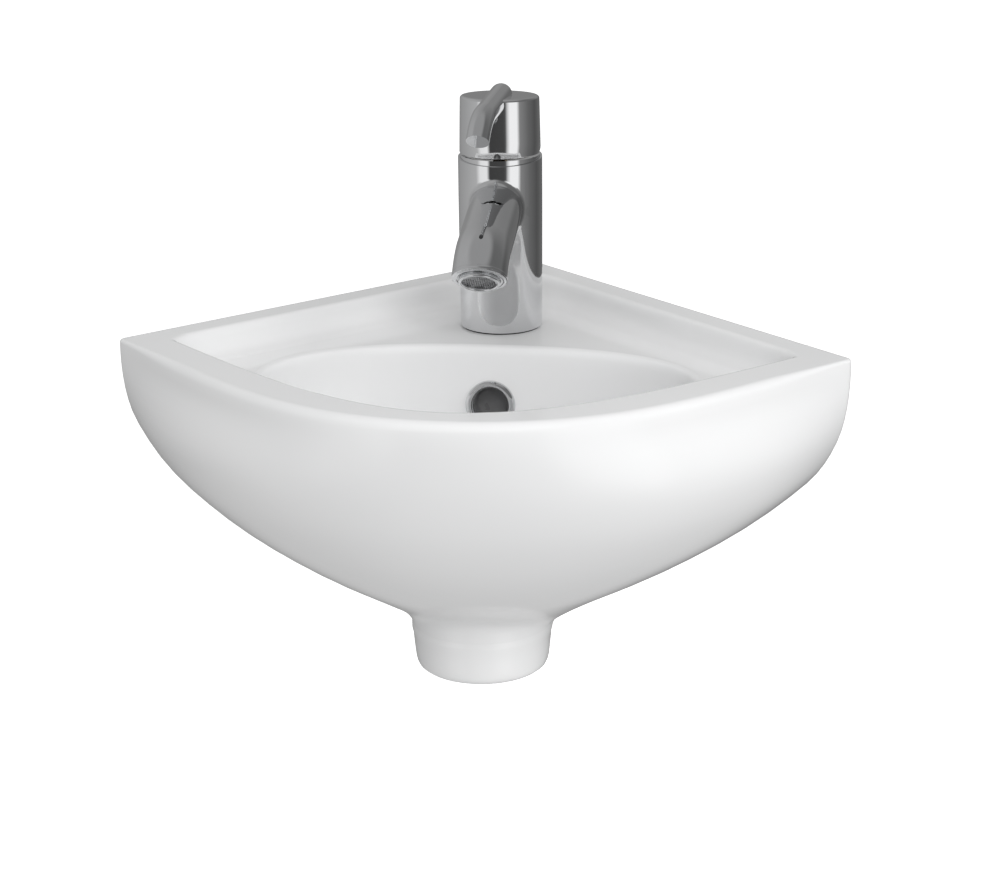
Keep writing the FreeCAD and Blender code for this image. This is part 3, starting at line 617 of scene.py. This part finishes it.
lip_profile = [(14.9, -3.0), (15.18, -1.7), (15.15, -0.8), (14.85, -0.15), (14.3, 0.35), (13.5, 0.6),
               (12.5, 0.55), (11.7, 0.25), (11.25, -0.5), (11.2, -3.0)]
spout_lip = turned_piece("spout_lip", lip_profile, spout_tip, jet, 128)
spout_lip.data.materials.append(chrome)
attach(spout_lip, "basin_and_tap")

wire_half, grid_reach, grid_pitch = 0.20, 9.24, 1.24
shade_disc_reach, shade_disc_cuts = 9.15, 48
across, over = Vector((1, 0, 0)), Vector((1, 0, 0)).cross(jet)
grid_form = bmesh.new()
for way in (0, 1):
    for k in range(-7, 8):
        off = k * grid_pitch
        run = math.sqrt(grid_reach ** 2 - off ** 2)
        ends = []
        for end in (-run, run):
            middle = (across * off + over * end) if way else (across * end + over * off)
            side = across if way else over
            base = spout_tip + jet * (0.75 + 0.18 * way) + middle
            ends.append([grid_form.verts.new((base + side * a * wire_half + jet * b * wire_half) * 0.001)
                         for a, b in ((-1, -1), (1, -1), (1, 1), (-1, 1))])
        for i in range(4):
            j = (i + 1) % 4
            grid_form.faces.new((ends[0][i], ends[0][j], ends[1][j], ends[1][i]))
        for corners in ends:
            grid_form.faces.new(corners)
# Painted shade: a dark grey disc behind the grid, standing for the shaded inside of the spout.
shade_disc = []
for depth in (1.2, 1.5):
    edge = []
    for i in range(shade_disc_cuts):
        turn = 2 * math.pi * i / shade_disc_cuts
        spoke = across * (shade_disc_reach * math.cos(turn)) + over * (shade_disc_reach * math.sin(turn))
        edge.append(grid_form.verts.new((spout_tip - jet * depth + spoke) * 0.001))
    grid_form.faces.new(edge).material_index = 1
    shade_disc.append(edge)
for i in range(shade_disc_cuts):
    j = (i + 1) % shade_disc_cuts
    grid_form.faces.new((shade_disc[0][i], shade_disc[0][j], shade_disc[1][j], shade_disc[1][i])).material_index = 1
bmesh.ops.recalc_face_normals(grid_form, faces=grid_form.faces)
grid_mesh = bpy.data.meshes.new("aerator_grid")
grid_form.to_mesh(grid_mesh)
grid_form.free()
grid = bpy.data.objects.new("aerator_grid", grid_mesh)
bpy.context.scene.collection.objects.link(grid)
grid_mesh.materials.append(steel)
grid_mesh.materials.append(hole_shade)
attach(grid, "basin_and_tap")
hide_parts("aerator_screen")
finished("aerator_seal", rubber)


# ---- The floor, the light and the camera ----------------------------------------------------
# A plain pale floor well under the basin, four soft lights around the front, a striped studio
# that only the chrome and the glaze mirror, and the camera to the right, looking down.

floor_form = bmesh.new()
for x, y in ((-60, -60), (60, -60), (60, 60), (-60, 60)):
    floor_form.verts.new((x, y, -0.9))
floor_form.faces.new(floor_form.verts)
floor_mesh = bpy.data.meshes.new("pale_floor")
floor_form.to_mesh(floor_mesh)
floor_form.free()
floor = bpy.data.objects.new("pale_floor", floor_mesh)
bpy.context.scene.collection.objects.link(floor)
floor_parts = plain_material("floor_paint")
floor_parts[3].inputs["Emission Color"].default_value = (1, 1, 1, 1)
floor_parts[3].inputs["Emission Strength"].default_value = 0.75
floor_paint = mottled(floor_parts, 0.6, (0.93, 0.93, 0.93), (0.95, 0.95, 0.95), 0.9, 0.95, 0.0001)
floor_mesh.materials.append(floor_paint)
floor.visible_diffuse = floor.visible_glossy = floor.visible_shadow = False

world = bpy.data.worlds.new("studio")
world.use_nodes = True
air, wires = world.node_tree.nodes, world.node_tree.links
plain_air = air["Background"]
plain_air.inputs["Color"].default_value = (1, 1, 1, 1)
plain_air.inputs["Strength"].default_value = 0.48
mirrored_air = air.new("ShaderNodeBackground")
place = air.new("ShaderNodeTexCoord")
parts = air.new("ShaderNodeSeparateXYZ")
wires.new(place.outputs["Generated"], parts.inputs["Vector"])
back = air.new("ShaderNodeMath")
back.operation = "MULTIPLY"
back.inputs[1].default_value = -1.0
wires.new(parts.outputs["Y"], back.inputs[0])
bearing = air.new("ShaderNodeMath")
bearing.operation = "ARCTAN2"
wires.new(parts.outputs["X"], bearing.inputs[0])
wires.new(back.outputs[0], bearing.inputs[1])
share = air.new("ShaderNodeMapRange")
share.inputs["From Min"].default_value, share.inputs["From Max"].default_value = -math.pi, math.pi
wires.new(bearing.outputs[0], share.inputs["Value"])


def studio_ramp(stops):
    """Greys round the compass, from stops of bearing and brightness."""
    ramp = air.new("ShaderNodeValToRGB")
    spare = ramp.color_ramp.elements
    while len(spare) < len(stops):
        spare.new(0.5)
    for element in spare:
        element.position = 0.0
    for k in range(len(stops) - 1, -1, -1):
        spare[k].position = (stops[k][0] + 180) / 360
        spare[k].color = (stops[k][1], stops[k][1], stops[k][1], 1)
    wires.new(share.outputs["Result"], ramp.inputs["Fac"])
    return ramp.outputs["Color"]


level_stripes = studio_ramp([(-180, 0.20), (-130, 0.38), (-94, 0.46), (-62, 0.53), (-50, 0.98), (-30, 1.02),
                             (-22, 0.06), (17, 0.07), (23, 0.10), (29, 0.70), (36, 1.15), (57, 1.15),
                             (66, 0.28), (96, 0.16), (126, 0.10), (158, 0.16)])
high_stripes = studio_ramp([(-180, 0.30), (-128, 0.44), (-104, 0.46), (-10, 0.42), (12, 0.20), (100, 0.16),
                            (124, 0.17), (165, 0.27)])


def blended(low_z, high_z, under, above):
    """One grey or set of stripes below, another above, with a smooth change between two heights."""
    climb = air.new("ShaderNodeMapRange")
    climb.interpolation_type = "SMOOTHSTEP"
    climb.inputs["From Min"].default_value, climb.inputs["From Max"].default_value = low_z, high_z
    wires.new(parts.outputs["Z"], climb.inputs["Value"])
    mix = air.new("ShaderNodeMix")
    mix.data_type = "RGBA"
    wires.new(climb.outputs["Result"], mix.inputs[0])
    for source, socket in ((under, 6), (above, 7)):
        if isinstance(source, float):
            mix.inputs[socket].default_value = (source, source, source, 1)
        else:
            wires.new(source, mix.inputs[socket])
    return mix.outputs[2]


upper = blended(0.70, 0.90, blended(0.02, 0.26, level_stripes, high_stripes), 0.36)
wires.new(blended(-0.75, -0.45, 0.62, upper), mirrored_air.inputs["Color"])
seen_in = air.new("ShaderNodeLightPath")
both = air.new("ShaderNodeMixShader")
wires.new(seen_in.outputs["Is Glossy Ray"], both.inputs["Fac"])
wires.new(plain_air.outputs["Background"], both.inputs[1])
wires.new(mirrored_air.outputs["Background"], both.inputs[2])
wires.new(both.outputs["Shader"], air["World Output"].inputs["Surface"])
bpy.context.scene.world = world
bpy.context.scene.view_settings.view_transform = "Standard"


def soft_light(name, place, aim, wide, high, power):
    """A soft box that lights the basin but isn't seen in its chrome."""
    lamp = bpy.data.lights.new(name, "AREA")
    lamp.shape, lamp.size, lamp.size_y, lamp.energy = "RECTANGLE", wide, high, power
    light = bpy.data.objects.new(name, lamp)
    light.location = place
    light.rotation_mode = "QUATERNION"
    light.rotation_quaternion = (Vector(aim) - Vector(place)).to_track_quat("-Z", "Y")
    light.visible_glossy = False
    bpy.context.scene.collection.objects.link(light)


soft_light("right_softbox", (1.7, -0.7, 0.85), (0, -0.2, -0.05), 0.9, 0.9, 8.5)
soft_light("front_softbox", (0.5, -1.9, 1.2), (0, -0.2, 0), 1.2, 1.2, 20)
soft_light("top_softbox", (-0.3, -0.3, 1.8), (0, -0.2, 0), 1.0, 1.0, 4)
soft_light("low_fill", (0.9, -2.0, -0.7), (0, -0.2, -0.1), 2.0, 1.0, 8)

turn, pitch, roll = math.radians(7.490), math.radians(18.7925), math.radians(-0.5569)
ahead = Vector((-math.sin(turn) * math.cos(pitch), math.cos(turn) * math.cos(pitch), -math.sin(pitch)))
level_right = Vector((math.cos(turn), math.sin(turn), 0))
level_up = level_right.cross(ahead)
right = math.cos(roll) * level_right + math.sin(roll) * level_up
up = -math.sin(roll) * level_right + math.cos(roll) * level_up
eye = bpy.data.cameras.new("camera")
eye.sensor_width, eye.lens, eye.shift_y = 36.0, 84.81, 0.00155
eye.clip_start, eye.clip_end = 0.05, 200
camera = bpy.data.objects.new("camera", eye)
camera.matrix_world = Matrix((right, up, -ahead)).transposed().to_4x4()
camera.location = (0.17053, -1.41355, 0.36190)
bpy.context.scene.collection.objects.link(camera)
bpy.context.scene.camera = camera
